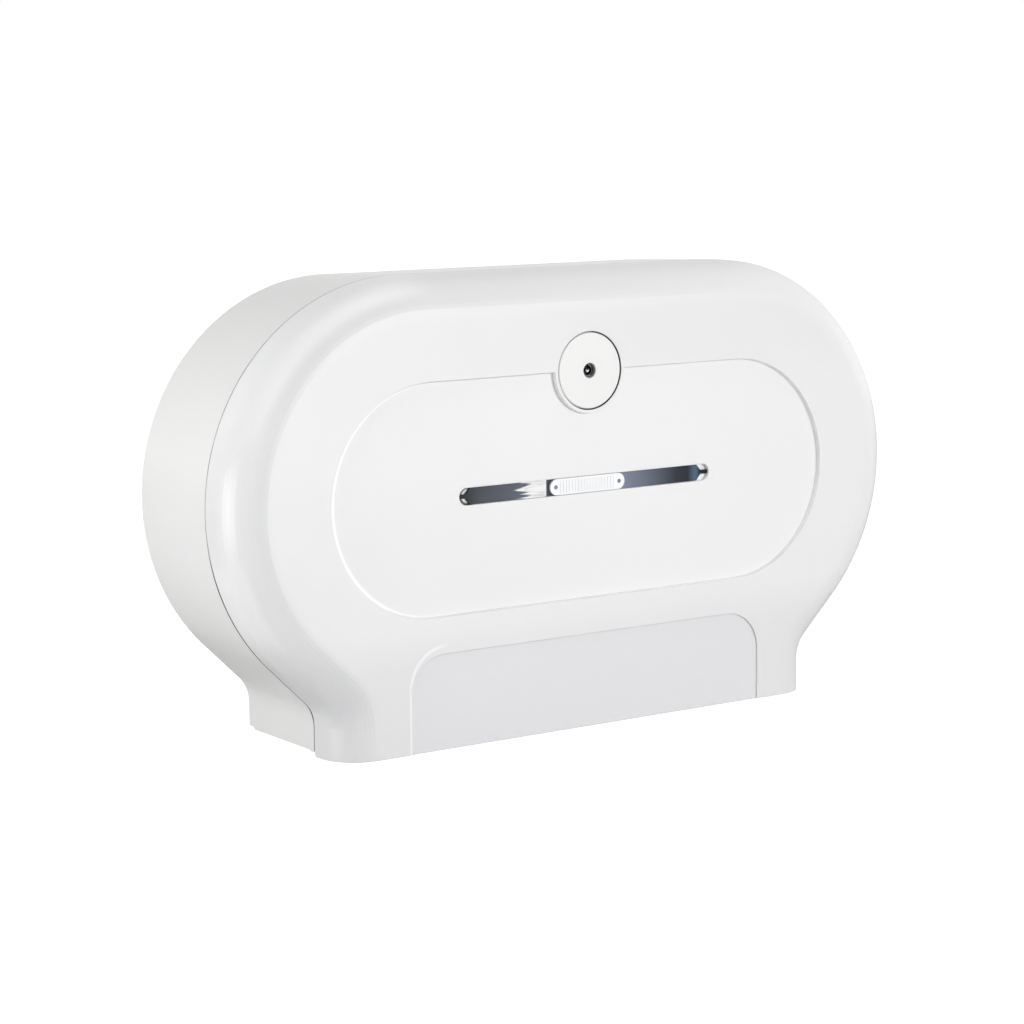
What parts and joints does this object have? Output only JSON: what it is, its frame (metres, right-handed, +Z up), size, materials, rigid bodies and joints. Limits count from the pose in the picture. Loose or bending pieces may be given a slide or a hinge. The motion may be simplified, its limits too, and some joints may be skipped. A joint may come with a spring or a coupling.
{
  "type": "jumbo toilet roll dispenser",
  "caption": "Wall-mounted dispenser for two jumbo toilet rolls, with a hinged locking cover, a smoked window with a thumb slide and an open outlet with tear blades.",
  "frame": {"origin": "on the wall plane, midway between the two roll axes", "axes": "+X to the right along the dispenser, -Y out of the wall towards the user, +Z up"},
  "size_m": [0.6, 0.137, 0.339],
  "materials": {
    "white_shell": "gloss",
    "white_inner": "satin",
    "bright_white": "satin",
    "smoked_lens": "gloss",
    "stainless": "brushed",
    "zinc": "satin",
    "screw_steel": "plated"
  },
  "bodies": {
    "housing": {"back_housing": "white_shell", "centre_divider": "white_inner", "divider_screws": "screw_steel", "left_spindle": "white_inner", "right_spindle": "white_inner", "spindle_screws": "screw_steel", "left_hub_cap": "white_inner", "right_hub_cap": "white_inner", "hub_cap_screws": "screw_steel", "latch_keeper": "stainless", "keeper_screws": "screw_steel", "left_outer_tear_blade": "stainless", "left_inner_tear_blade": "stainless", "right_inner_tear_blade": "stainless", "right_outer_tear_blade": "stainless", "blade_screws": "screw_steel", "left_hinge_pin": "stainless", "right_hinge_pin": "stainless"},
    "left_hub": {"left_roll_hub": "white_inner"},
    "right_hub": {"right_roll_hub": "white_inner"},
    "cover": {"front_cover": "white_shell", "window_lens": "smoked_lens", "lock_disc": "white_shell", "disc_screws": "screw_steel", "lock_body": "zinc", "lock_nut": "zinc"},
    "slide": {"slider_cap": "bright_white", "slider_runner": "white_inner", "slider_rivets": "screw_steel"},
    "lock": {"lock_barrel": "zinc", "lock_cam": "stainless", "cam_screw": "screw_steel"}
  },
  "joints": [
    {"name": "cover_hinge", "type": "hinge", "parent": "housing", "child": "cover", "pos_m": [0, -0.09, -0.1745], "axis": [1, 0, 0], "range_deg": [0, 100]},
    {"name": "lock_turn", "type": "hinge", "parent": "cover", "child": "lock", "pos_m": [0, -0.12, 0.084], "axis": [0, -1, 0], "range_deg": [0, 90]},
    {"name": "slider_slide", "type": "slide", "parent": "cover", "child": "slide", "axis": [1, 0, 0], "range_m": [-0.003, 0.003]},
    {"name": "left_hub_spin", "type": "hinge", "parent": "housing", "child": "left_hub", "pos_m": [-0.142, -0.05, 0], "axis": [0, 1, 0], "continuous": true},
    {"name": "right_hub_spin", "type": "hinge", "parent": "housing", "child": "right_hub", "pos_m": [0.142, -0.05, 0], "axis": [0, 1, 0], "continuous": true}
  ]
}
